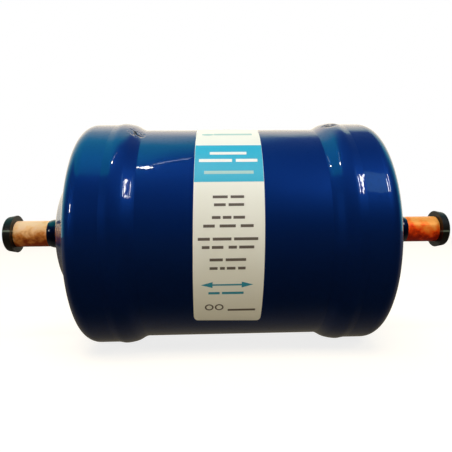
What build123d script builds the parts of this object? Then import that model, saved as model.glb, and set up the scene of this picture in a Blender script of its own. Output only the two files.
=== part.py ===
"""Bi-flow filter drier for a refrigerant line.

A drawn steel shell, two pressed caps lap-welded over its ends and two copper solder stubs brazed
into the caps. Inside, a moulded desiccant core is clamped between two check-valve plates, so that
the refrigerant is dried in either direction. The X axis is the axis of flow, +Z is up and the
label faces -Y. The origin is the middle of the body. Everything is in millimetres.
"""

import os
from math import atan2, cos, radians, sin

from build123d import *

# Shell: a drawn tube with a cap lapped over each end.
shell_diameter = 63.5
shell_wall = 1.6
cap_edge = 31.0  # middle of the shell to the open edge of a cap
cap_lap = 7.0  # length of shell inside a cap

# Pressed end cap, from its open edge outwards.
cap_wall = 1.6
skirt_run = 11.35  # open edge to the corner of the knuckle
knuckle_radius = 4.6
crown_rise = 2.0
crown_radius = 18.0
crown_break_radius = 25.5
valley_rise = 0.55
valley_bend = 6.0
valley_radius = 23.0
dome_rise = 5.45
dome_bend = 9.0
dome_radius = 14.2
nose_rise = 1.3
neck_length = 2.4
neck_wall = 0.65
neck_root_fillet = 0.9

# Fillet weld that closes each lap joint.
weld_leg = 6.1  # along the shell
weld_cover = 2.4  # over the skirt
weld_crest_run = 0.2  # open edge of the cap to the crest
weld_crest_height = 0.33  # above the skirt
weld_flank = ((-5.0, 0.35), (-3.7, 1.1), (-2.0, 1.65))  # from the cap's edge, above the shell
weld_toe_slope = 0.2
weld_cover_slope = -0.12

# Copper solder stub for a 1/4 inch line.
stub_diameter = 8.1
stub_step = 0.3  # the brazed length is this much smaller in radius
stub_reach = 15.0  # outer face of the cap's nose to the stub's mouth
stub_inner_overhang = 1.2
socket_diameter = 6.45
socket_depth = 8.0
line_bore = 4.8
stub_chamfer = 0.15
braze_ring_length = 2.4
braze_crest_run = 0.7  # end of the neck to the crest
braze_crest_height = 0.4
braze_root_slope = 0.15
braze_toe_slope = -0.35

# Rubber transport plug.
plug_head_diameter = 11.6
plug_head_end_diameter = 10.6
plug_head_length = 2.7
plug_rim_fillet = 0.7
plug_stem_length = 6.6
plug_stem_diameter = 5.6
plug_rib_count = 3
plug_rib_length = 0.8
plug_rib_lead = 0.3
plug_lead_length = 1.1
plug_clearance = 0.05
plug_dimple_diameter = 4.0
plug_dimple_depth = 0.4

# Printed label round the front of the shell.
label_width = 17.9
label_offset = -1.28
label_low_angle = -49.0
label_high_angle = 74.0
label_skew = -1.07
label_thickness = 0.12
label_adhesive = 0.05
label_corner = 1.0

# Moulded desiccant core and the screen that lines its bore.
core_length = 44.0
core_diameter = 50.0
core_bore = 18.0
core_chamfer = 1.2
screen_wall = 0.4
screen_clearance = 0.05
screen_end_gap = 0.2  # between the screen and the nearer spigot
screen_hole = 3.4
screen_rows = 7
screen_columns = 8
gasket_thickness = 1.4
gasket_inset = 0.4  # inside the rim of the core
holder_wall = 0.8
holder_lip_length = 5.0
holder_bend = 1.2
core_clearance = 0.4

# Check-valve plate: a pressed disc with a rim, a ring of intake ports and a central spigot.
plate_wall = 1.6
rim_wall = 1.2
rim_length = 4.2
spigot_diameter = 20.0
spigot_bore = 15.2
spigot_tip_diameter = 17.0
spigot_tip_length = 5.0
spigot_length = 8.0
pack_clearance = 0.8  # between the right plate's shoulder and the spring-loaded holder
port_count = 8
port_diameter = 5.4
port_circle = 33.0

# Valve discs, their springs and the outlet cage.
valve_thickness = 0.8
valve_travel = 1.5
valve_clearance = 0.4
intake_valve_diameter = 42.0
outlet_valve_diameter = 19.2
outlet_boss_diameter = 6.2
outlet_stem_diameter = 4.4
outlet_stem_overrun = 0.4  # beyond the crown of the cage
cage_wall = 0.8
cage_height = 7.2
cage_flange = 2.2
cage_window_count = 4
cage_window_width = 9.0
cage_window_length = 4.6
cage_guide_clearance = 0.3
spring_clearance = 0.05
intake_spring_wire = 0.7
intake_spring_diameter = 23.6
intake_spring_turns = 3.5
outlet_spring_wire = 0.4
outlet_spring_diameter = 8.0
outlet_spring_turns = 3.5
pack_spring_wire = 1.6
pack_spring_turns = 2.5

# Places worked out from the sizes above.
shell_radius = shell_diameter / 2
shell_bore_radius = shell_radius - shell_wall
shell_half = cap_edge + cap_lap
skirt_radius = shell_radius + cap_wall
stub_radius = stub_diameter / 2
brazed_radius = stub_radius - stub_step
neck_radius = brazed_radius + neck_wall
knuckle_x = cap_edge + skirt_run
crown_x = knuckle_x + crown_rise
valley_x = crown_x + valley_rise
dome_x = valley_x + dome_rise
nose_x = dome_x + nose_rise
neck_x = nose_x + neck_length
mouth_x = nose_x + stub_reach
stub_step_x = neck_x + braze_ring_length
core_half = core_length / 2
holder_x = core_half + gasket_thickness + holder_wall  # outer face of each core holder
plate_x = {-1: holder_x + spigot_length, 1: holder_x + pack_clearance + spigot_length}
pack_spring_diameter = core_diameter - 2 * gasket_inset - pack_spring_wire
valve_radius_inside = spigot_diameter / 2 + valve_clearance
cage_radius = outlet_valve_diameter / 2 + 2 * valve_clearance + cage_wall


def turned(face):
    """A profile in the (x, radius) plane turned about the axis of flow."""
    return revolve(face, Axis.X)


def turned_outline(*points):
    """A ring from the straight-sided outline of its section."""
    return turned(make_face(Polyline(*points, close=True)))


def on_side(shape, side):
    """The right-hand shape, or its mirror image for the left."""
    return shape if side > 0 else mirror(shape, about=Plane.YZ)


def inset(points, distance):
    """The corners of the line that runs parallel to points, the given distance to its right."""
    headings = [atan2(b[1] - a[1], b[0] - a[0]) for a, b in zip(points, points[1:])]
    before = [headings[0], *headings]
    after = [*headings, headings[-1]]
    corners = []
    for (x, r), into, out in zip(points, before, after):
        middle = (into + out) / 2
        reach = distance / cos((out - into) / 2)
        corners.append((x + reach * sin(middle), r - reach * cos(middle)))
    return corners


def coil(diameter, wire, turns, start_x, end_x):
    """A compression spring of round wire standing between two seats."""
    low_x = start_x + wire / 2 + spring_clearance
    run = end_x - start_x - wire - 2 * spring_clearance
    line = Helix(pitch=run / turns, height=run, radius=diameter / 2, direction=(1, 0, 0))
    line = Pos(low_x, 0, 0) * line
    section = Plane(origin=line @ 0, z_dir=line % 0) * Circle(wire / 2)
    return sweep(section, path=line)


def make_shell_tube():
    return turned_outline(
        (-shell_half, shell_bore_radius),
        (shell_half, shell_bore_radius),
        (shell_half, shell_radius),
        (-shell_half, shell_radius),
    )


def make_end_cap():
    """Skirt, knuckle, crown, raised dome and drawn neck, all one pressing."""
    corners = [
        (cap_edge, skirt_radius),
        (knuckle_x, skirt_radius),
        (crown_x, crown_break_radius),
        (valley_x, valley_radius),
        (dome_x, dome_radius),
        (nose_x, brazed_radius / 2),
    ]
    bends = [knuckle_radius, crown_radius, valley_bend, dome_bend]
    turns = [-1, -1, 1, -1]  # the valley is the one corner that bends outwards
    outside = FilletPolyline(*corners, radius=bends)
    inner_bends = [bend + turn * cap_wall for bend, turn in zip(bends, turns)]
    inner_corners = inset(corners, cap_wall)
    inside = FilletPolyline(*inner_corners, radius=inner_bends)
    wall = [*outside.edges(), *inside.edges()]
    wall.append(Line(corners[0], inner_corners[0]))
    wall.append(Line(corners[-1], inner_corners[-1]))
    cup = turned(make_face(wall))
    neck_seat = nose_x - cap_wall
    neck = turned_outline(
        (neck_seat, 0), (neck_x, 0), (neck_x, neck_radius), (neck_seat, neck_radius)
    )
    cap = cup + neck
    root = [
        edge
        for edge in cap.edges().filter_by(GeomType.CIRCLE)
        if abs(edge.radius - neck_radius) < 0.01 and edge.center().X < neck_x - neck_root_fillet
    ]
    cap = fillet(root, neck_root_fillet)
    bore = turned_outline(
        (valley_x, 0), (mouth_x, 0), (mouth_x, brazed_radius), (valley_x, brazed_radius)
    )
    return cap - bore


def make_weld_bead():
    """A fillet weld: its long leg lies on the shell and its crown laps over the skirt."""
    toe = (cap_edge - weld_leg, shell_radius)
    flank = [(cap_edge + run, shell_radius + height) for run, height in weld_flank]
    crest = (cap_edge + weld_crest_run, skirt_radius + weld_crest_height)
    cover = (cap_edge + weld_cover, skirt_radius)
    slopes = [(1, weld_toe_slope), (1, weld_cover_slope)]
    section = [
        Spline(toe, *flank, crest, cover, tangents=slopes),
        Line(cover, (cap_edge, skirt_radius)),
        Line((cap_edge, skirt_radius), (cap_edge, shell_radius)),
        Line((cap_edge, shell_radius), toe),
    ]
    return turned(make_face(section))


def make_stub():
    """A tube sunk thinner where it is brazed into the cap, with a socket for the line."""
    inner_x = nose_x - cap_wall - stub_inner_overhang
    socket_x = mouth_x - socket_depth
    socket_radius = socket_diameter / 2
    bore_radius = line_bore / 2
    shoulder = (socket_radius - bore_radius) / 2
    return turned_outline(
        (inner_x, bore_radius),
        (inner_x, brazed_radius),
        (stub_step_x, brazed_radius),
        (stub_step_x, stub_radius),
        (mouth_x - stub_chamfer, stub_radius),
        (mouth_x, stub_radius - stub_chamfer),
        (mouth_x, socket_radius + stub_chamfer),
        (mouth_x - stub_chamfer, socket_radius),
        (socket_x, socket_radius),
        (socket_x - shoulder, bore_radius),
    )


def make_braze_ring():
    """Alloy that has run out from the end of the neck along the stub."""
    crest = (neck_x + braze_crest_run, stub_radius + braze_crest_height)
    outline = Spline(
        (neck_x, neck_radius),
        crest,
        (stub_step_x, stub_radius),
        tangents=[(1, braze_root_slope), (1, braze_toe_slope)],
    )
    section = [
        outline,
        Line((stub_step_x, stub_radius), (stub_step_x, brazed_radius)),
        Line((stub_step_x, brazed_radius), (neck_x, brazed_radius)),
        Line((neck_x, brazed_radius), (neck_x, neck_radius)),
    ]
    return turned(make_face(section))


def make_plug():
    """A moulded rubber plug: a tapered head and a ribbed stem that grips the socket."""
    head_radius = plug_head_diameter / 2
    end_radius = plug_head_end_diameter / 2
    face_x = mouth_x + plug_head_length
    stem_radius = plug_stem_diameter / 2
    stem_x = mouth_x - plug_stem_length
    rib_radius = socket_diameter / 2 - plug_clearance
    head = turned_outline((mouth_x, 0), (mouth_x, head_radius), (face_x, end_radius), (face_x, 0))
    rim = head.edges().filter_by(GeomType.CIRCLE).sort_by(Axis.X)[-1]
    head = fillet(rim, plug_rim_fillet)
    stem = turned_outline(
        (stem_x, 0),
        (stem_x, stem_radius - plug_lead_length / 2),
        (stem_x + plug_lead_length, stem_radius),
        (mouth_x, stem_radius),
        (mouth_x, 0),
    )
    plug = head + stem
    pitch = (plug_stem_length - plug_lead_length) / plug_rib_count
    for rib in range(plug_rib_count):
        low = stem_x + plug_lead_length + rib * pitch
        high = low + plug_rib_length
        crest = low + plug_rib_lead
        plug += turned_outline((low, 0), (crest, rib_radius), (high, rib_radius), (high, 0))
    dimple = turned_outline(
        (face_x - plug_dimple_depth, 0),
        (face_x, 0),
        (face_x, plug_dimple_diameter / 2),
        (face_x - plug_dimple_depth, plug_dimple_diameter / 2 - plug_dimple_depth),
    )
    return plug - dimple


def make_label():
    """Printed film wrapped round the front of the shell, with rounded corners."""
    inner_radius = shell_radius + label_adhesive
    outer_radius = inner_radius + label_thickness
    film = turned_outline(
        (-shell_half, inner_radius),
        (shell_half, inner_radius),
        (shell_half, outer_radius),
        (-shell_half, outer_radius),
    )
    middle = (label_low_angle + label_high_angle) / 2
    half_span = radians(label_high_angle - label_low_angle) / 2
    height = 2 * outer_radius * sin(half_span)
    facing = Vector(0, -cos(radians(middle)), sin(radians(middle)))
    face = Plane(origin=(label_offset, 0, 0), x_dir=(1, 0, 0), z_dir=facing)
    outline = Rot(0, 0, label_skew) * RectangleRounded(label_width, height, label_corner)
    return film & extrude(face * outline, amount=2 * outer_radius)


def make_core():
    """Moulded molecular sieve, a thick-walled block that gas crosses from outside to bore."""
    core = turned_outline(
        (-core_half, core_bore / 2),
        (core_half, core_bore / 2),
        (core_half, core_diameter / 2),
        (-core_half, core_diameter / 2),
    )
    rims = [edge for edge in core.edges().filter_by(GeomType.CIRCLE) if edge.radius > core_bore]
    return chamfer(rims, core_chamfer)


def make_core_screen():
    """A perforated liner that keeps loose grains out of the core's bore."""
    half = plate_x[-1] - spigot_length - spigot_tip_length - screen_end_gap
    radius = core_bore / 2 - screen_clearance
    screen = turned_outline(
        (-half, radius - screen_wall),
        (half, radius - screen_wall),
        (half, radius),
        (-half, radius),
    )
    pitch = 2 * half / (screen_rows + 1)
    punch = Cylinder(screen_hole / 2, 2 * core_bore)
    step = 360 / screen_columns
    punches = []
    for row in range(screen_rows):
        stagger = step / 2 * (row % 2)
        for column in range(screen_columns // 2):  # each punch goes through both walls
            turn = Rot(X=step * column + stagger)
            punches.append(Pos(-half + (row + 1) * pitch, 0, 0) * turn * punch)
    return screen - punches


def make_core_gasket():
    """A felt ring between the core's end and its holder."""
    bore_radius = core_bore / 2 + gasket_inset
    outer_radius = core_diameter / 2 - gasket_inset
    return turned_outline(
        (core_half, bore_radius),
        (core_half + gasket_thickness, bore_radius),
        (core_half + gasket_thickness, outer_radius),
        (core_half, outer_radius),
    )


def make_core_holder():
    """A shallow pressed dish that centres one end of the core round the spigot's tip."""
    inner_x = holder_x - holder_wall
    bore_radius = spigot_tip_diameter / 2 + core_clearance / 2
    lip_radius = core_diameter / 2 + core_clearance
    lip_x = inner_x - holder_lip_length
    holder = turned_outline(
        (inner_x, bore_radius),
        (holder_x, bore_radius),
        (holder_x, lip_radius + holder_wall),
        (lip_x, lip_radius + holder_wall),
        (lip_x, lip_radius),
        (inner_x, lip_radius),
    )
    rims = holder.edges().filter_by(GeomType.CIRCLE)
    outer_rim = rims.sort_by(lambda edge: edge.center().X + edge.radius)[-1]
    return fillet(outer_rim, holder_bend)


def make_valve_plate(side):
    """Rim, disc and spigot in one pressing, with raised lands where the valves close."""
    inner_x = plate_x[side]
    outer_x = inner_x + plate_wall
    rim_x = outer_x + rim_length
    shoulder_x = inner_x - spigot_length
    tip_x = shoulder_x - spigot_tip_length
    bore_radius = spigot_bore / 2
    plate = turned_outline(
        (inner_x, spigot_diameter / 2),
        (inner_x, shell_bore_radius),
        (rim_x, shell_bore_radius),
        (rim_x, shell_bore_radius - rim_wall),
        (outer_x, shell_bore_radius - rim_wall),
        (outer_x, bore_radius),
        (tip_x, bore_radius),
        (tip_x, spigot_tip_diameter / 2),
        (shoulder_x, spigot_tip_diameter / 2),
        (shoulder_x, spigot_diameter / 2),
    )
    port = Rot(Y=90) * Cylinder(port_diameter / 2, 2 * plate_wall)
    port = Pos(inner_x + plate_wall / 2, 0, port_circle / 2) * port
    return plate - [Rot(X=360 / port_count * n) * port for n in range(port_count)]


def make_intake_valve(side):
    """An annular disc that covers the ring of ports from inside and lifts off them inwards."""
    face_x = plate_x[side]
    return turned_outline(
        (face_x - valve_thickness, valve_radius_inside),
        (face_x, valve_radius_inside),
        (face_x, intake_valve_diameter / 2),
        (face_x - valve_thickness, intake_valve_diameter / 2),
    )


def make_outlet_valve(side):
    """A disc, the boss that stops its lift at the cage's crown, and a guide stem."""
    seat_x = plate_x[side] + plate_wall
    face_x = seat_x + valve_thickness
    boss_x = seat_x + cage_height - cage_wall - valve_travel
    stem_x = seat_x + cage_height + outlet_stem_overrun
    return turned_outline(
        (seat_x, 0),
        (seat_x, outlet_valve_diameter / 2),
        (face_x, outlet_valve_diameter / 2),
        (face_x, outlet_boss_diameter / 2),
        (boss_x, outlet_boss_diameter / 2),
        (boss_x, outlet_stem_diameter / 2),
        (stem_x, outlet_stem_diameter / 2),
        (stem_x, 0),
    )


def make_cage(side):
    """A pressed cup with open windows, welded by its flange round the outlet port."""
    seat_x = plate_x[side] + plate_wall
    crown_x = seat_x + cage_height
    guide_radius = outlet_stem_diameter / 2 + cage_guide_clearance
    cage = turned_outline(
        (seat_x, cage_radius - cage_wall),
        (seat_x, cage_radius + cage_flange),
        (seat_x + cage_wall, cage_radius + cage_flange),
        (seat_x + cage_wall, cage_radius),
        (crown_x, cage_radius),
        (crown_x, guide_radius),
        (crown_x - cage_wall, guide_radius),
        (crown_x - cage_wall, cage_radius - cage_wall),
    )
    window = Box(cage_window_length, cage_window_width, cage_radius)
    window = Pos((seat_x + crown_x) / 2, 0, cage_radius) * window
    step = 360 / cage_window_count
    return cage - [Rot(X=step * n) * window for n in range(cage_window_count)]


def make_intake_spring(side):
    return coil(
        intake_spring_diameter,
        intake_spring_wire,
        intake_spring_turns,
        holder_x,
        plate_x[side] - valve_thickness,
    )


def make_outlet_spring(side):
    seat_x = plate_x[side] + plate_wall
    return coil(
        outlet_spring_diameter,
        outlet_spring_wire,
        outlet_spring_turns,
        seat_x + valve_thickness,
        seat_x + cage_height - cage_wall,
    )


def make_pack_spring():
    """The spring that keeps the core pressed against the left-hand valve plate."""
    return coil(pack_spring_diameter, pack_spring_wire, pack_spring_turns, holder_x, plate_x[1])


nodes = {
    "shell_tube": make_shell_tube(),
    "label": make_label(),
    "desiccant_core": make_core(),
    "core_screen": make_core_screen(),
    "pack_spring": make_pack_spring(),
}
for side, end in ((-1, "left"), (1, "right")):
    nodes[f"{end}_end_cap"] = on_side(make_end_cap(), side)
    nodes[f"{end}_weld_bead"] = on_side(make_weld_bead(), side)
    nodes[f"{end}_stub"] = on_side(make_stub(), side)
    nodes[f"{end}_braze_ring"] = on_side(make_braze_ring(), side)
    nodes[f"{end}_plug"] = on_side(make_plug(), side)
    nodes[f"{end}_core_gasket"] = on_side(make_core_gasket(), side)
    nodes[f"{end}_core_holder"] = on_side(make_core_holder(), side)
    nodes[f"{end}_valve_plate"] = on_side(make_valve_plate(side), side)
    nodes[f"{end}_intake_valve"] = on_side(make_intake_valve(side), side)
    nodes[f"{end}_intake_spring"] = on_side(make_intake_spring(side), side)
    nodes[f"{end}_outlet_valve"] = on_side(make_outlet_valve(side), side)
    nodes[f"{end}_outlet_spring"] = on_side(make_outlet_spring(side), side)
    nodes[f"{end}_valve_cage"] = on_side(make_cage(side), side)

os.makedirs("parts", exist_ok=True)
for node, shape in nodes.items():
    export_step(shape, f"parts/{node}.step")
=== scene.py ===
"""Looks of a bi-flow filter drier for a refrigerant line.

A navy-enamelled steel shell with two pressed caps, copper solder stubs and rubber plugs, and the
core, plates and valves inside it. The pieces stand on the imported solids, in metres.
"""

from math import cos, radians, sin

import bmesh
import bpy
from mathutils import Matrix, Quaternion, Vector


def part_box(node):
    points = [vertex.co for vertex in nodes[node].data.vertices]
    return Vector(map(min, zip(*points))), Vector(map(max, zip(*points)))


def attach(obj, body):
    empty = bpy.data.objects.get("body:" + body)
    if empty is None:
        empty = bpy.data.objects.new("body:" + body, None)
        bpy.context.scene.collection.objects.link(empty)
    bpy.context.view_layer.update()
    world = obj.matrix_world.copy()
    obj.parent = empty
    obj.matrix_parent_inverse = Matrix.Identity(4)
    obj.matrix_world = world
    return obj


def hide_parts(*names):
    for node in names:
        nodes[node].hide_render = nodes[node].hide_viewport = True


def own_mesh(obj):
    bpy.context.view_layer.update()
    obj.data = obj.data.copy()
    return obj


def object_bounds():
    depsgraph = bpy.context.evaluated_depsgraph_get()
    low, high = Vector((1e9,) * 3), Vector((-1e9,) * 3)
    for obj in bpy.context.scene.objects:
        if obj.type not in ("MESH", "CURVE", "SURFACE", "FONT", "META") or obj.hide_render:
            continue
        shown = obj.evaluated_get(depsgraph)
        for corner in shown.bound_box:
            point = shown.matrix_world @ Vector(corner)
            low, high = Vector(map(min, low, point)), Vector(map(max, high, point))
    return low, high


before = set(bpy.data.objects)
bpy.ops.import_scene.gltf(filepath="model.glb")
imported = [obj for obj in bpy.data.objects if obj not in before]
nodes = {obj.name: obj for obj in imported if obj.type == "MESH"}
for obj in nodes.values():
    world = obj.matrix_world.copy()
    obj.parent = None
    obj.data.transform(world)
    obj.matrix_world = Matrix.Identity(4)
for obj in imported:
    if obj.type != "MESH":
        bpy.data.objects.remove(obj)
cad_box = [list(corner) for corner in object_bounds()]

# ---------------------------------------------------------------- enamelled steel
# The shell tube is drawn, the caps are pressed and laid over its ends, and the lap welds and the
# braze at each neck are dressed. The whole body is then dipped in a navy enamel and stoved.
mm = 0.001  # in metres
outward = {"left": -1, "right": 1}  # the sign of X at each end


def linear(colour):
    """An sRGB hex colour as the linear RGBA that a socket takes."""
    channels = [int(colour[n : n + 2], 16) / 255 for n in (1, 3, 5)]
    return [c / 12.92 if c <= 0.04045 else ((c + 0.055) / 1.055) ** 2.4 for c in channels] + [1.0]


def add_node(tree, kind, inputs=None, **settings):
    """One node with its settings, each input given a value or linked to another node's output.

    A Mix node takes its factor at input 0, two numbers at 2 and 3 and two colours at 6 and 7, and
    gives the number at output 0 and the colour at output 2.
    """
    node = tree.nodes.new(kind)
    for name, value in settings.items():
        setattr(node, name, value)
    for name, value in (inputs or {}).items():
        if isinstance(value, bpy.types.NodeSocket):
            tree.links.new(value, node.inputs[name])
        else:
            node.inputs[name].default_value = value
    return node


def new_material(name):
    """An empty node material, its tree and its Object coordinates, which are metres."""
    material = bpy.data.materials.new(name)
    material.use_nodes = True
    tree = material.node_tree
    tree.nodes.clear()
    place = add_node(tree, "ShaderNodeTexCoord").outputs["Object"]
    return material, tree, place


def dress(node, material):
    """Puts a material in every slot of a CAD node."""
    for slot in nodes[node].material_slots:
        slot.material = material


# Stoved enamel: navy pigment with a little metal in it under a hard clear gloss. It lies slightly
# wavy, as orange peel 1.5 mm from crest to crest and as the slow sag of the dip, 14 mm long.
enamel, tree, place = new_material("navy_stoved_enamel")
peel = add_node(
    tree, "ShaderNodeTexNoise", {"Vector": place, "Scale": 1 / (1.538 * mm), "Detail": 1.0}
)
sag = add_node(
    tree, "ShaderNodeTexNoise", {"Vector": place, "Scale": 1 / (14.29 * mm), "Detail": 1.0}
)
sag_bump = add_node(
    tree,
    "ShaderNodeBump",
    {"Height": sag.outputs["Fac"], "Strength": 0.22, "Distance": 1.2 * mm},
)
# Each lap weld was closed near the top, where the bead left folds about 4 mm across, which are
# painted dark as shade.
# The folds lie where a noise with 3.3 mm swirls is near its middle value.
wrinkle = add_node(
    tree,
    "ShaderNodeTexNoise",
    {"Vector": place, "Scale": 1 / (3.333 * mm), "Detail": 1.0, "Distortion": 1.5},
)
middle = add_node(
    tree, "ShaderNodeMath", {0: wrinkle.outputs["Fac"], 1: 0.5}, operation="SUBTRACT"
)
ridge = add_node(tree, "ShaderNodeMath", {0: middle.outputs[0]}, operation="ABSOLUTE")
groove = add_node(
    tree,
    "ShaderNodeMapRange",
    {"Value": ridge.outputs[0], "From Min": 0.04, "From Max": 0.1, "To Min": 1.0, "To Max": 0.0},
)
closures = []
for closure_point in ((-26.5, -16.5, 28.2), (29.5, -12.8, 30.9)):
    reach = add_node(
        tree,
        "ShaderNodeVectorMath",
        {0: place, 1: Vector(closure_point) * mm},
        operation="DISTANCE",
    )
    near = add_node(
        tree,
        "ShaderNodeMapRange",
        {
            "Value": reach.outputs["Value"],
            "From Min": 1.2 * mm,
            "From Max": 3.0 * mm,
            "To Min": 1.0,
            "To Max": 0.0,
        },
        interpolation_type="SMOOTHSTEP",
    )
    closures.append(near.outputs["Result"])
closure = add_node(tree, "ShaderNodeMath", {0: closures[0], 1: closures[1]})
fold = add_node(
    tree,
    "ShaderNodeMath",
    {0: closure.outputs[0], 1: groove.outputs["Result"]},
    operation="MULTIPLY",
)
fold_bump = add_node(
    tree,
    "ShaderNodeBump",
    {
        "Height": fold.outputs[0],
        "Strength": 0.7,
        "Distance": 0.6 * mm,
        "Normal": sag_bump.outputs["Normal"],
    },
    invert=True,
)
peel_bump = add_node(
    tree,
    "ShaderNodeBump",
    {
        "Height": peel.outputs["Fac"],
        "Strength": 0.10,
        "Distance": 0.12 * mm,
        "Normal": fold_bump.outputs["Normal"],
    },
)
# The pigment settles unevenly over about 20 mm.
cloud = add_node(
    tree, "ShaderNodeTexNoise", {"Vector": place, "Scale": 1 / (20 * mm), "Detail": 3.0}
)
coat = add_node(
    tree,
    "ShaderNodeMix",
    {0: cloud.outputs["Fac"], 6: linear("#103884"), 7: linear("#133E88")},
    data_type="RGBA",
)
# Painted shade: round each neck and in the weld folds the enamel is made almost black, as the shade
# in these hollows.
along = add_node(tree, "ShaderNodeSeparateXYZ", {"Vector": place}).outputs["X"]
from_middle = add_node(tree, "ShaderNodeMath", {0: along}, operation="ABSOLUTE")
neck = add_node(
    tree,
    "ShaderNodeMapRange",
    {"Value": from_middle.outputs[0], "From Min": 51.9 * mm, "From Max": 52.4 * mm},
)
painted_shade = add_node(
    tree, "ShaderNodeMath", {0: neck.outputs["Result"], 1: fold.outputs[0]}, operation="MAXIMUM"
)
navy = add_node(
    tree,
    "ShaderNodeMix",
    {0: painted_shade.outputs[0], 6: coat.outputs[2], 7: linear("#0A1A36")},
    data_type="RGBA",
)
# Dust nibs, drawn 0.7 mm wide so that they show, make the pigment duller, and the folds have no
# clear gloss.
nib = add_node(
    tree, "ShaderNodeTexNoise", {"Vector": place, "Scale": 1 / (0.7143 * mm), "Detail": 2.0}
)
matt = add_node(
    tree,
    "ShaderNodeMapRange",
    {
        "Value": nib.outputs["Fac"],
        "From Min": 0.55,
        "From Max": 0.75,
        "To Min": 0.46,
        "To Max": 0.58,
    },
)
gloss = add_node(tree, "ShaderNodeMath", {0: 1.0, 1: fold.outputs[0]}, operation="SUBTRACT")
shader = add_node(
    tree,
    "ShaderNodeBsdfPrincipled",
    {
        "Base Color": navy.outputs[2],
        "Metallic": 0.84,
        "Roughness": matt.outputs["Result"],
        "Specular IOR Level": 0.0,
        "Coat Weight": gloss.outputs[0],
        "Coat Roughness": 0.04,
        "Coat IOR": 1.5,
        "Normal": peel_bump.outputs["Normal"],
        "Coat Normal": peel_bump.outputs["Normal"],
    },
)
add_node(tree, "ShaderNodeOutputMaterial", {"Surface": shader.outputs[0]})

dress("shell_tube", enamel)
for end in outward:
    for piece in ("end_cap", "weld_bead", "braze_ring"):
        dress(f"{end}_{piece}", enamel)

# ---------------------------------------------------------------- copper stubs
# Drawn copper tube, swaged to a socket and brazed into each neck. The left one has only dulled in
# the air, the right one was heated longer and turned orange. Both are painted lighter on top and
# darker and redder below, as painted light and shade from above, and are darker towards the braze,
# where the oxide is thickest.
for end, tints in (
    ("left", ("#93390F", "#D8843C", "#FFC88A", "#FFD2A6")),
    ("right", ("#A01C04", "#FF4A08", "#FF842A", "#FFAC54")),
):
    copper, tree, place = new_material(f"{end}_drawn_copper")
    # Die lines run along the tube. They are drawn 0.25 mm apart, coarser than real, so that they
    # show, and stretched twelve times in length. The blotches of oxide are 1 to 3 mm across.
    drawn = add_node(tree, "ShaderNodeMapping", {"Vector": place, "Scale": (0.08, 1.0, 1.0)})
    lines = add_node(
        tree, "ShaderNodeTexNoise", {"Vector": drawn.outputs["Vector"], "Scale": 1 / (0.25 * mm)}
    )
    blotch = add_node(
        tree, "ShaderNodeTexNoise", {"Vector": place, "Scale": 1 / (2.381 * mm), "Detail": 6.0}
    )
    level = add_node(tree, "ShaderNodeSeparateXYZ", {"Vector": place})
    # Painted light and shade: the tube is made lighter on top and darker and redder below, as light
    # from above would leave it.
    painted_light_from_above = add_node(
        tree,
        "ShaderNodeMapRange",
        {"Value": level.outputs["Z"], "From Min": -3.6 * mm, "From Max": 2.8 * mm},
    )
    mottle = add_node(
        tree,
        "ShaderNodeMapRange",
        {
            "Value": blotch.outputs["Fac"],
            "From Min": 0.3,
            "From Max": 0.7,
            "To Min": -0.28,
            "To Max": 0.28,
        },
    )
    scorch = add_node(
        tree,
        "ShaderNodeMapRange",
        {
            "Value": level.outputs["X"],
            "From Min": outward[end] * 60.5 * mm,
            "From Max": outward[end] * 57.5 * mm,
            "To Min": 0.0,
            "To Max": -0.25,
        },
    )
    painted_light_and_mottle = add_node(
        tree, "ShaderNodeMath", {0: painted_light_from_above.outputs["Result"], 1: mottle.outputs["Result"]}
    )
    painted_light_and_tarnish = add_node(
        tree, "ShaderNodeMath", {0: painted_light_and_mottle.outputs[0], 1: scorch.outputs["Result"]}
    )
    skin = add_node(tree, "ShaderNodeValToRGB", {"Fac": painted_light_and_tarnish.outputs[0]})
    ramp = skin.color_ramp
    for position, tint in zip((0.05, 0.35, 0.65, 0.95), tints):
        ramp.elements.new(position).color = linear(tint)
    ramp.elements.remove(ramp.elements[0])
    ramp.elements.remove(ramp.elements[-1])
    scuff = add_node(
        tree,
        "ShaderNodeMapRange",
        {"Value": blotch.outputs["Fac"], "To Min": 0.22, "To Max": 0.5},
    )
    bump = add_node(
        tree,
        "ShaderNodeBump",
        {"Height": lines.outputs["Fac"], "Strength": 0.25, "Distance": 0.05 * mm},
    )
    # The oxide leaves only a little of the metal's own shine.
    shader = add_node(
        tree,
        "ShaderNodeBsdfPrincipled",
        {
            "Base Color": skin.outputs["Color"],
            "Metallic": 0.15,
            "Roughness": scuff.outputs["Result"],
            "Specular IOR Level": 0.15,
            "Normal": bump.outputs["Normal"],
        },
    )
    add_node(tree, "ShaderNodeOutputMaterial", {"Surface": shader.outputs[0]})
    dress(f"{end}_stub", copper)

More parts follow.
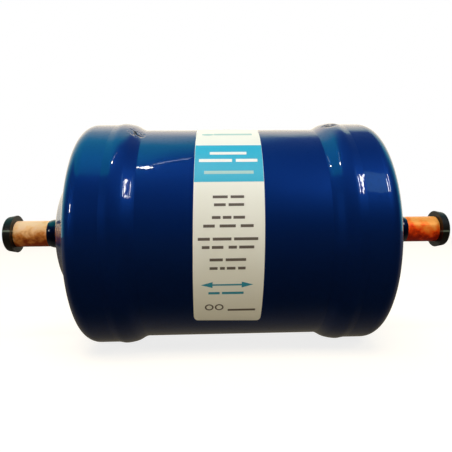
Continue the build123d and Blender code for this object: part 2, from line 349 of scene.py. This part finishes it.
# ---------------------------------------------------------------- transport plugs
# Black rubber, moulded in one piece with a ribbed stem, and pushed into each stub until the line
# is brazed in. The skin is dull, with a faint grey bloom.
for end, parting_height in (("left", 0.9 * mm), ("right", -0.8 * mm)):
    rubber, tree, place = new_material(f"{end}_moulded_black_rubber")
    # The mould's blasted grain is drawn 0.4 mm across, coarser than real, so that it shows. The
    # bloom lies in patches of 3 mm.
    grain = add_node(
        tree, "ShaderNodeTexNoise", {"Vector": place, "Scale": 1 / (0.4 * mm), "Detail": 2.0}
    )
    bloom = add_node(
        tree, "ShaderNodeTexNoise", {"Vector": place, "Scale": 1 / (2.857 * mm), "Detail": 3.0}
    )
    black = add_node(
        tree,
        "ShaderNodeMix",
        {0: bloom.outputs["Fac"], 6: linear("#0B0A07"), 7: linear("#1C1A12")},
        data_type="RGBA",
    )
    # The mould's halves met on a line across the rim, and a pale grey-green line is painted along
    # it: the trimmed flash with a painted highlight on it.
    height = add_node(tree, "ShaderNodeSeparateXYZ", {"Vector": place}).outputs["Z"]
    offset = add_node(
        tree, "ShaderNodeMath", {0: height, 1: parting_height}, operation="SUBTRACT"
    )
    away = add_node(tree, "ShaderNodeMath", {0: offset.outputs[0]}, operation="ABSOLUTE")
    flash_highlight = add_node(
        tree,
        "ShaderNodeMapRange",
        {
            "Value": away.outputs[0],
            "From Min": 0.1 * mm,
            "From Max": 0.35 * mm,
            "To Min": 0.5,
            "To Max": 0.0,
        },
    )
    skin = add_node(
        tree,
        "ShaderNodeMix",
        {0: flash_highlight.outputs["Result"], 6: black.outputs[2], 7: linear("#8C9C88")},
        data_type="RGBA",
    )
    bump = add_node(
        tree,
        "ShaderNodeBump",
        {"Height": grain.outputs["Fac"], "Strength": 0.3, "Distance": 0.1 * mm},
    )
    shader = add_node(
        tree,
        "ShaderNodeBsdfPrincipled",
        {
            "Base Color": skin.outputs[2],
            "Roughness": 0.45,
            "Specular IOR Level": 0.3,
            "Normal": bump.outputs["Normal"],
        },
    )
    add_node(tree, "ShaderNodeOutputMaterial", {"Surface": shader.outputs[0]})
    dress(f"{end}_plug", rubber)

# ---------------------------------------------------------------- label
# A printed polyester film stuck round the front of the shell. The print is a cyan band, a
# two-headed flow arrow, and bars where the words would be, each a thin layer of ink on the film.
film, tree, place = new_material("white_polyester_film")
# The film's slight unevenness is drawn 1.1 mm across, coarser than real, so that it shows. Its
# white drifts over about 17 mm.
tooth = add_node(
    tree, "ShaderNodeTexNoise", {"Vector": place, "Scale": 1 / (1.111 * mm), "Detail": 2.0}
)
cast = add_node(
    tree, "ShaderNodeTexNoise", {"Vector": place, "Scale": 1 / (16.67 * mm), "Detail": 2.0}
)
white = add_node(
    tree,
    "ShaderNodeMix",
    {0: cast.outputs["Fac"], 6: linear("#F1F0E4"), 7: linear("#F6F5EC")},
    data_type="RGBA",
)
bump = add_node(
    tree,
    "ShaderNodeBump",
    {"Height": tooth.outputs["Fac"], "Strength": 0.12, "Distance": 0.05 * mm},
)
shader = add_node(
    tree,
    "ShaderNodeBsdfPrincipled",
    {
        "Base Color": white.outputs[2],
        "Roughness": 0.38,
        "Coat Weight": 0.25,
        "Coat Roughness": 0.2,
        "Normal": bump.outputs["Normal"],
    },
)
add_node(tree, "ShaderNodeOutputMaterial", {"Surface": shader.outputs[0]})
dress("label", film)

# Screen inks under a thin satin varnish. The screen's dots are 0.25 mm apart, so that solid
# colour has a slight grain.
inks = {}
for ink, colour in (
    ("cyan_ink", "#2CB2D3"),
    ("white_ink", "#F3F5F0"),
    ("black_ink", "#6A5F56"),
    ("teal_ink", "#2E96AE"),
    ("pale_ink", "#A8CFCB"),
):
    inks[ink], tree, place = new_material(f"printed_{ink}")
    dots = add_node(tree, "ShaderNodeTexNoise", {"Vector": place, "Scale": 1 / (0.25 * mm)})
    value = add_node(
        tree,
        "ShaderNodeMapRange",
        {"Value": dots.outputs["Fac"], "To Min": 0.93, "To Max": 1.07},
    )
    shade = add_node(
        tree,
        "ShaderNodeHueSaturation",
        {"Color": linear(colour), "Value": value.outputs["Result"]},
    )
    shader = add_node(
        tree,
        "ShaderNodeBsdfPrincipled",
        {
            "Base Color": shade.outputs["Color"],
            "Roughness": 0.35,
            "Coat Weight": 0.25,
            "Coat Roughness": 0.2,
        },
    )
    add_node(tree, "ShaderNodeOutputMaterial", {"Surface": shader.outputs[0]})

film_radius = -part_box("label")[0].y
ink_thickness = 0.02 * mm
arc_degree = radians(1) * film_radius  # length of one degree round the shell
lean = 0.0186  # the label was stuck on slightly askew: sideways drift per length round the shell


def print_on_film(form, ink, name):
    """Bends a flat print, x across and y round the shell, onto the film and makes it a piece."""
    for vertex in form.verts:
        x, y, lift = vertex.co
        angle = y / film_radius
        radius = film_radius + ink_thickness + lift
        vertex.co = (x + lean * y, -radius * cos(angle), radius * sin(angle))
    bmesh.ops.recalc_face_normals(form, faces=form.faces)
    mesh = bpy.data.meshes.new(name)
    form.to_mesh(mesh)
    form.free()
    mesh.materials.append(inks[ink])
    piece = bpy.data.objects.new(name, mesh)
    bpy.context.scene.collection.objects.link(piece)
    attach(piece, "drier")


def add_bar(form, x_low, x_high, low, high, lift=0.0):
    """A flat oblong in metres, cut every millimetre round the shell so that it bends smoothly."""
    cuts = max(1, round((high - low) / mm))
    made = bmesh.ops.create_grid(form, x_segments=1, y_segments=cuts, size=0.5)
    bmesh.ops.scale(form, vec=(x_high - x_low, high - low, 1.0), verts=made["verts"])
    bmesh.ops.translate(
        form, vec=((x_low + x_high) / 2, (low + high) / 2, lift), verts=made["verts"]
    )


def print_words(rows, height, ink, name, lift=0.0):
    """Rows of word-long bars: an angle in degrees, then each word's two ends in millimetres.

    The ends are measured on the body, so each row is drawn back by what the label's lean adds.
    """
    form = bmesh.new()
    for angle, *words in rows:
        middle = angle * arc_degree
        for x_low, x_high in words:
            add_bar(
                form,
                x_low * mm - lean * middle,
                x_high * mm - lean * middle,
                middle - height / 2,
                middle + height / 2,
                lift,
            )
    print_on_film(form, ink, name)


band = bmesh.new()
add_bar(band, -10.3 * mm, 7.48 * mm, 23.2 * arc_degree, 47.0 * arc_degree)
print_on_film(band, "cyan_ink", "label_cyan_band")

print_words(
    [
        (40.5, (-5.97, 3.77)),
        (35.5, (-8.84, -0.17), (0.81, 6.49)),
    ],
    1.1 * mm,
    "white_ink",
    "label_title_bars",
    lift=ink_thickness,
)
print_words(
    [(28.3, (-7.48, 5.26))], 1.0 * mm, "pale_ink", "label_code_bar", lift=ink_thickness
)
print_words(
    [
        (15.7, (-5.35, -1.60), (-0.87, 2.53)),
        (12.0, (-5.08, -2.14), (-1.42, 2.46)),
        (6.2, (-5.62, -3.48), (-2.91, -0.77), (-0.27, 2.60)),
        (2.4, (-7.78, -4.93), (-3.72, 0.27), (1.49, 4.71)),
        (-3.4, (-9.16, -6.18), (-5.47, -0.84), (-0.20, 5.81)),
        (-7.1, (-8.20, -6.28), (-5.71, -2.86), (-1.57, 0.50), (1.07, 4.80)),
        (-12.8, (-6.32, -3.03), (-2.31, 2.79)),
        (-16.8, (-6.35, -4.34), (-3.76, -2.54), (-2.03, 0.13), (0.78, 2.66)),
    ],
    0.72 * mm,
    "black_ink",
    "label_text_bars",
)
print_words([(-29.6, (-6.74, -3.87), (-3.28, 2.26))], 0.72 * mm, "teal_ink", "label_flow_bars")
print_words([(-40.4, (-1.75, 5.49))], 0.75 * mm, "black_ink", "label_note_bar")
print_words([(59.8, (-4.79, 5.98))], 1.4 * mm, "pale_ink", "label_head_bar")

# Two plain rings stand beside the note bar, and a plain oval beside the head bar.
rings = bmesh.new()
ring_height = -38.4 * arc_degree
for ring_x in (-6.6 * mm, -4.0 * mm):
    made = bmesh.ops.create_circle(rings, cap_ends=True, segments=32, radius=1.15 * mm)
    inside = made["verts"][0].link_faces[0]
    rim = bmesh.ops.inset_individual(rings, faces=[inside], thickness=0.4 * mm)
    corners = {vertex for face in rim["faces"] for vertex in face.verts}
    bmesh.ops.delete(rings, geom=[inside], context="FACES_ONLY")
    bmesh.ops.translate(
        rings, vec=(ring_x - lean * ring_height, ring_height, 0.0), verts=list(corners)
    )
print_on_film(rings, "black_ink", "label_round_marks")

oval = bmesh.new()
oval_height = 59.5 * arc_degree
disc = bmesh.ops.create_circle(oval, cap_ends=True, segments=32, radius=1.0)
bmesh.ops.scale(oval, vec=(1.7 * mm, 0.8 * mm, 1.0), verts=disc["verts"])
bmesh.ops.translate(
    oval, vec=(-6.5 * mm - lean * oval_height, oval_height, 0.0), verts=disc["verts"]
)
print_on_film(oval, "pale_ink", "label_head_disc")

# The arrow's heads overprint its shaft by a quarter of the ink's thickness.
arrow = bmesh.new()
shaft_height = -25.1 * arc_degree
half_shaft = 0.22 * mm
half_head = 0.85 * mm
add_bar(arrow, -7.0 * mm, 3.6 * mm, shaft_height - half_shaft, shaft_height + half_shaft)
for tip_x, back_x in ((-8.37 * mm, -5.4 * mm), (4.93 * mm, 2.0 * mm)):
    head = [
        arrow.verts.new((tip_x, shaft_height, ink_thickness / 4)),
        arrow.verts.new((back_x, shaft_height - half_head, ink_thickness / 4)),
        arrow.verts.new((back_x, shaft_height + half_head, ink_thickness / 4)),
    ]
    arrow.faces.new(head)
print_on_film(arrow, "teal_ink", "label_flow_arrow")

# ---------------------------------------------------------------- desiccant core
# Molecular sieve and a binder, moulded and baked into one sandy block with a bore through it. It
# stands in the middle of the shell, held between the gaskets at its ends.
sieve, tree, place = new_material("moulded_molecular_sieve")
# The block's grains are 0.9 mm across, with painted shade darkening the gaps between them.
grains = add_node(tree, "ShaderNodeTexVoronoi", {"Vector": place, "Scale": 1 / (0.909 * mm)})
grain_and_gap_shade = add_node(
    tree,
    "ShaderNodeMix",
    {0: grains.outputs["Distance"], 6: linear("#D9C8A8"), 7: linear("#A08A68")},
    data_type="RGBA",
)
bump = add_node(
    tree,
    "ShaderNodeBump",
    {"Height": grains.outputs["Distance"], "Strength": 0.6, "Distance": 0.3 * mm},
    invert=True,
)
shader = add_node(
    tree,
    "ShaderNodeBsdfPrincipled",
    {"Base Color": grain_and_gap_shade.outputs[2], "Roughness": 0.9, "Normal": bump.outputs["Normal"]},
)
add_node(tree, "ShaderNodeOutputMaterial", {"Surface": shader.outputs[0]})
dress("desiccant_core", sieve)

# ---------------------------------------------------------------- screen, holders, plates, cages
# Steel sheet, zinc-plated and passivated. The perforated screen is rolled to line the core's bore.
# The holders, valve plates and cages are pressings, and stand one behind the other at each end.
zinc, tree, place = new_material("passivated_zinc_plate")
# The plate is satin grey and goes faintly yellow in clouds 3.3 mm across.
clouding = add_node(
    tree, "ShaderNodeTexNoise", {"Vector": place, "Scale": 1 / (3.333 * mm), "Detail": 4.0}
)
plate = add_node(
    tree,
    "ShaderNodeMix",
    {0: clouding.outputs["Fac"], 6: linear("#B4B8BC"), 7: linear("#D2D0C2")},
    data_type="RGBA",
)
shader = add_node(
    tree,
    "ShaderNodeBsdfPrincipled",
    {"Base Color": plate.outputs[2], "Metallic": 1.0, "Roughness": 0.34},
)
add_node(tree, "ShaderNodeOutputMaterial", {"Surface": shader.outputs[0]})
dress("core_screen", zinc)
for end in outward:
    for piece in ("core_holder", "valve_plate", "valve_cage"):
        dress(f"{end}_{piece}", zinc)

# ---------------------------------------------------------------- core gaskets
# A ring of pressed felt at each end of the core, between the block and its holder. It seals the
# joint and gives a little, so that the brittle core isn't crushed.
felt, tree, place = new_material("pressed_felt")
# Its fibres are drawn 0.33 mm thick, coarser than the real ones, so that they show.
fibre = add_node(
    tree, "ShaderNodeTexNoise", {"Vector": place, "Scale": 1 / (0.3333 * mm), "Detail": 4.0}
)
wool = add_node(
    tree,
    "ShaderNodeMix",
    {0: fibre.outputs["Fac"], 6: linear("#B9B3A2"), 7: linear("#E6E2D6")},
    data_type="RGBA",
)
shader = add_node(
    tree,
    "ShaderNodeBsdfPrincipled",
    {"Base Color": wool.outputs[2], "Roughness": 0.95, "Sheen Weight": 0.4},
)
add_node(tree, "ShaderNodeOutputMaterial", {"Surface": shader.outputs[0]})
for end in outward:
    dress(f"{end}_core_gasket", felt)

# ---------------------------------------------------------------- springs and intake valves
# Spring steel: wire wound into the pack spring and the valve springs, and strip punched into the
# ring-shaped intake valves. All of them lie loose, held by the pieces on both sides.
steel, tree, place = new_material("oil_tempered_spring_steel")
# Tempering leaves a bright grey that varies a little over 0.8 mm.
temper = add_node(
    tree, "ShaderNodeTexNoise", {"Vector": place, "Scale": 1 / (0.8333 * mm), "Detail": 2.0}
)
grey = add_node(
    tree,
    "ShaderNodeMix",
    {0: temper.outputs["Fac"], 6: linear("#6E6C69"), 7: linear("#94918C")},
    data_type="RGBA",
)
shader = add_node(
    tree,
    "ShaderNodeBsdfPrincipled",
    {"Base Color": grey.outputs[2], "Metallic": 1.0, "Roughness": 0.3},
)
add_node(tree, "ShaderNodeOutputMaterial", {"Surface": shader.outputs[0]})
dress("pack_spring", steel)
for end in outward:
    for piece in ("intake_valve", "intake_spring", "outlet_spring"):
        dress(f"{end}_{piece}", steel)

# ---------------------------------------------------------------- outlet valves
# One nylon moulding at each end, a disc with a stem that slides in the cage's guide hole. It's left
# in the plastic's natural ivory.
nylon, tree, place = new_material("moulded_natural_nylon")
# The melt leaves faint clouds 5 mm across in a satin skin.
melt = add_node(
    tree, "ShaderNodeTexNoise", {"Vector": place, "Scale": 1 / (5 * mm), "Detail": 2.0}
)
ivory = add_node(
    tree,
    "ShaderNodeMix",
    {0: melt.outputs["Fac"], 6: linear("#E4DCC6"), 7: linear("#F0EBDC")},
    data_type="RGBA",
)
shader = add_node(
    tree, "ShaderNodeBsdfPrincipled", {"Base Color": ivory.outputs[2], "Roughness": 0.45}
)
add_node(tree, "ShaderNodeOutputMaterial", {"Surface": shader.outputs[0]})
for end in outward:
    dress(f"{end}_outlet_valve", nylon)

# ---------------------------------------------------------------- valve springs
# Coils of spring steel wire. The core holder holds one end of each intake spring, the crown of the
# cage one end of each outlet spring, and the other end moves with the valve. These pieces are
# merged, smooth-shaded copies that stand in for the rigid solids.
for end, side in outward.items():
    for valve, held in (("intake", -side), ("outlet", side)):
        node = f"{end}_{valve}_spring"
        wire = bmesh.new()
        wire.from_mesh(nodes[node].data)
        wire.transform(nodes[node].matrix_world)
        bmesh.ops.remove_doubles(wire, verts=wire.verts, dist=0.001 * mm)
        for face in wire.faces:
            face.smooth = True
        mesh = bpy.data.meshes.new(f"{node}_coil")
        wire.to_mesh(mesh)
        wire.free()
        mesh.materials.append(steel)
        coil = bpy.data.objects.new(f"{node}_coil", mesh)
        bpy.context.scene.collection.objects.link(coil)
        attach(coil, "drier")
        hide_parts(node)
        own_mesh(coil)

# ---------------------------------------------------------------- floor
# A matt white painted floor, 4 m square, a hair below the body. To the camera it is as bright as
# the white behind it, so that only the body's soft shadow shows.
floor_gap = 0.05 * mm
floor_half = 2.0

floor_paint, tree, place = new_material("matt_white_floor")
path = add_node(tree, "ShaderNodeLightPath")
matte = add_node(tree, "ShaderNodeBsdfDiffuse", {"Color": linear("#A89C84")})
glow = add_node(tree, "ShaderNodeEmission", {"Color": linear("#FFFFFF"), "Strength": 0.8})
plain = add_node(tree, "ShaderNodeAddShader", {0: matte.outputs[0], 1: glow.outputs[0]})
seen_floor = add_node(
    tree,
    "ShaderNodeMixShader",
    {0: path.outputs["Is Camera Ray"], 1: matte.outputs[0], 2: plain.outputs[0]},
)
# Glossy rays see a painted reflection instead of the lit floor: a cream glow, dim in front of the
# body and lighter behind it.
depth = add_node(tree, "ShaderNodeSeparateXYZ", {"Vector": place}).outputs["Y"]
painted_reflection_level = add_node(
    tree,
    "ShaderNodeMapRange",
    {
        "Value": depth,
        "From Min": -30.0 * mm,
        "From Max": -6.0 * mm,
        "To Min": 0.01,
        "To Max": 0.13,
    },
    interpolation_type="SMOOTHSTEP",
)
painted_reflection = add_node(
    tree, "ShaderNodeEmission", {"Color": linear("#FFF0D0"), "Strength": painted_reflection_level.outputs["Result"]}
)
shader = add_node(
    tree,
    "ShaderNodeMixShader",
    {0: path.outputs["Is Glossy Ray"], 1: seen_floor.outputs[0], 2: painted_reflection.outputs[0]},
)
add_node(tree, "ShaderNodeOutputMaterial", {"Surface": shader.outputs[0]})

ground = bmesh.new()
bmesh.ops.create_grid(ground, x_segments=1, y_segments=1, size=floor_half)
bmesh.ops.translate(ground, vec=(0.0, 0.0, cad_box[0][2] - floor_gap), verts=ground.verts)
mesh = bpy.data.meshes.new("floor")
ground.to_mesh(mesh)
ground.free()
mesh.materials.append(floor_paint)
floor = bpy.data.objects.new("floor", mesh)
bpy.context.scene.collection.objects.link(floor)

# ---------------------------------------------------------------- room
# A room drawn by direction alone: X is right, Y the back and Z up. A white wall stands behind the
# body, its light ceiling reaches forward on the left only, and the rest of the room is dim.
world = bpy.data.worlds.new("white_room")
bpy.context.scene.world = world
world.use_nodes = True
tree = world.node_tree
tree.nodes.clear()
path = add_node(tree, "ShaderNodeLightPath")
mirror_ray = path.outputs["Is Glossy Ray"]
camera_ray = path.outputs["Is Camera Ray"]
heading = add_node(tree, "ShaderNodeTexCoord").outputs["Generated"]
axes = add_node(tree, "ShaderNodeSeparateXYZ", {"Vector": heading})

# Overhead the wall's edge slants: it reaches forward on the left and draws back on the right.
slant = add_node(
    tree,
    "ShaderNodeMapRange",
    {"Value": axes.outputs["Z"], "From Min": 0.7, "From Max": 0.85, "To Max": -2.7},
)
backward = add_node(
    tree,
    "ShaderNodeMath",
    {0: axes.outputs["X"], 1: slant.outputs["Result"], 2: axes.outputs["Y"]},
    operation="MULTIPLY_ADD",
)
behind = add_node(
    tree,
    "ShaderNodeMapRange",
    {"Value": backward.outputs[0], "From Min": -0.15, "From Max": 0.45},
    interpolation_type="SMOOTHSTEP",
)

# In the body's reflections the wall is cream and bright, and turns cyan and a little dimmer
# where it comes overhead. Everything else takes one warm white light from it.
overhead = add_node(
    tree,
    "ShaderNodeMapRange",
    {"Value": axes.outputs["Y"], "From Min": 0.75, "From Max": 0.3},
)
mirrored_wall = add_node(
    tree,
    "ShaderNodeMix",
    {0: overhead.outputs["Result"], 6: linear("#FFF4DC"), 7: linear("#30DCE0")},
    data_type="RGBA",
)
mirrored_level = add_node(
    tree,
    "ShaderNodeMapRange",
    {"Value": axes.outputs["Y"], "From Min": 0.66, "From Max": 0.6, "To Min": 1.3, "To Max": 1.1},
)
wall = add_node(
    tree,
    "ShaderNodeMix",
    {0: mirror_ray, 6: linear("#FFFBEA"), 7: mirrored_wall.outputs[2]},
    data_type="RGBA",
)
wall_level = add_node(
    tree, "ShaderNodeMix", {0: mirror_ray, 2: 1.0, 3: mirrored_level.outputs["Result"]}
)

# The dim front is blue, and in reflections it grows lighter with height.
dusk = add_node(
    tree,
    "ShaderNodeMapRange",
    {
        "Value": axes.outputs["Z"],
        "From Min": 0.15,
        "From Max": 0.85,
        "To Min": 0.02,
        "To Max": 0.42,
    },
)
front_level = add_node(
    tree, "ShaderNodeMix", {0: mirror_ray, 2: 0.015, 3: dusk.outputs["Result"]}
)
room = add_node(
    tree,
    "ShaderNodeMix",
    {0: behind.outputs["Result"], 6: linear("#3C78D0"), 7: wall.outputs[2]},
    data_type="RGBA",
)
room_level = add_node(
    tree,
    "ShaderNodeMix",
    {0: behind.outputs["Result"], 2: front_level.outputs[0], 3: wall_level.outputs[0]},
)

# The camera itself sees plain white all round.
backdrop = add_node(
    tree,
    "ShaderNodeMix",
    {0: camera_ray, 6: room.outputs[2], 7: linear("#FFFFFF")},
    data_type="RGBA",
)
backdrop_level = add_node(
    tree, "ShaderNodeMix", {0: camera_ray, 2: room_level.outputs[0], 3: 1.0}
)
sky = add_node(
    tree,
    "ShaderNodeBackground",
    {"Color": backdrop.outputs[2], "Strength": backdrop_level.outputs[0]},
)
add_node(tree, "ShaderNodeOutputWorld", {"Surface": sky.outputs[0]})

# ---------------------------------------------------------------- lamps
# Small bright panels whose mirror images are the streaks and spots on the welds and caps, a dim
# cyan pane that leaves a hazy patch on the right cap, and two broad fills for the label and the
# matt pieces, which nothing glossy mirrors. Each one faces the middle of the body.
cool = (0.96, 1.0, 0.98)
cyan = (0.35, 0.8, 1.0)
warm = (1.0, 0.98, 0.93)
# Each row gives metres, then the turn about the lamp's own axis in degrees, then watts.
for name, stand, width, height, turn, watts, shape, colour in (
    ("ceiling_lamp", (-0.088, -0.160, 0.411), 0.022, 0.022, 45.0, 0.08, "RECTANGLE", cool),
    ("ceiling_strip", (-0.052, -0.0985, 0.430), 0.084, 0.003, 85.0, 0.006, "RECTANGLE", cool),
    ("left_lamp", (-0.76, -0.552, 0.335), 0.05, 0.12, 0.0, 0.8, "RECTANGLE", cool),
    ("right_tube", (0.500, -0.592, 0.650), 0.022, 0.26, -11.2, 0.9, "RECTANGLE", cool),
    ("right_tube_pair", (0.598, -0.512, 0.630), 0.024, 0.30, -20.8, 0.7, "RECTANGLE", cool),
    ("right_pane", (0.3855, -0.639, 0.725), 0.13, 0.42, -12.0, 0.12, "ELLIPSE", cyan),
    ("front_fill", (0.0, -0.697, 0.061), 0.6, 0.4, 0.0, 1.1, "RECTANGLE", warm),
    ("top_fill", (0.0, -0.3, 0.63), 0.5, 0.4, 0.0, 3.1, "RECTANGLE", warm),
):
    lamp = bpy.data.lights.new(name, "AREA")
    lamp.shape = shape
    lamp.size = width
    lamp.size_y = height
    lamp.energy = watts
    lamp.color = colour
    bulb = bpy.data.objects.new(name, lamp)
    aim = Vector(stand).to_track_quat("Z", "Y") @ Quaternion((0.0, 0.0, 1.0), radians(turn))
    bulb.location = stand
    bulb.rotation_euler = aim.to_euler()
    bulb.visible_glossy = not name.endswith("fill")
    bpy.context.scene.collection.objects.link(bulb)

# ---------------------------------------------------------------- camera
# A 35 mm lens, 140 mm in front of the axis and level with it. It looks slightly up and to the
# right, is tilted by less than a degree, and has its frame shifted a little.
yaw, pitch, roll = 0.038, 0.025, -0.0128  # radians
camera_stand = (-5.45 * mm, -140 * mm, 0.0)
ahead = Vector((sin(yaw) * cos(pitch), cos(yaw) * cos(pitch), sin(pitch)))
level = Vector((cos(yaw), -sin(yaw), 0.0))
upright = level.cross(ahead)
across = level * cos(roll) + upright * sin(roll)
upwards = upright * cos(roll) - level * sin(roll)
lens = bpy.data.cameras.new("camera")
lens.sensor_width = 36.0
lens.lens = 34.83
lens.shift_x = -0.0071
lens.shift_y = -0.0125
lens.clip_start = 5 * mm
camera = bpy.data.objects.new("camera", lens)
stance = Matrix((across, upwards, -ahead)).transposed().to_4x4()
camera.matrix_world = Matrix.Translation(camera_stand) @ stance
bpy.context.scene.collection.objects.link(camera)
bpy.context.scene.camera = camera
bpy.context.scene.view_settings.view_transform = "Standard"
